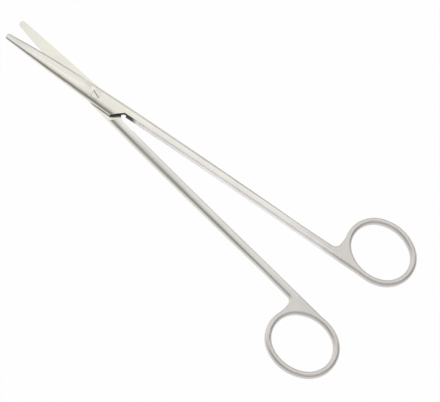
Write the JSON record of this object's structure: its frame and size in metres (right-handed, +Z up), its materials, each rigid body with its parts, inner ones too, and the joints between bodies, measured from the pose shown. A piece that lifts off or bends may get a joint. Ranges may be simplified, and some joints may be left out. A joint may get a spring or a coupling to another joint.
{
  "type": "dissecting scissors",
  "caption": "Long slim dissecting scissors with short blunt blades, a slotted pivot screw, straight shanks and oval finger rings.",
  "frame": {"origin": "where the pivot screw's axis meets the flat underside that the scissors lie on", "axes": "+X towards the tips along the middle line, +Y towards the upper blade's side, +Z up along the pivot screw"},
  "size_m": [0.2268, 0.0926, 0.0048],
  "materials": {
    "satin_steel": "satin",
    "screw_steel": "satin"
  },
  "bodies": {
    "under_scissor_half": {"under_half": "satin_steel", "pivot_screw": "screw_steel"},
    "near_scissor_half": {"near_half": "satin_steel"}
  },
  "joints": [
    {"name": "pivot", "type": "hinge", "parent": "under_scissor_half", "child": "near_scissor_half", "pos_m": [0, 0, 0.0024], "axis": [0, 0, 1], "range_deg": [-9.3, 78]}
  ]
}
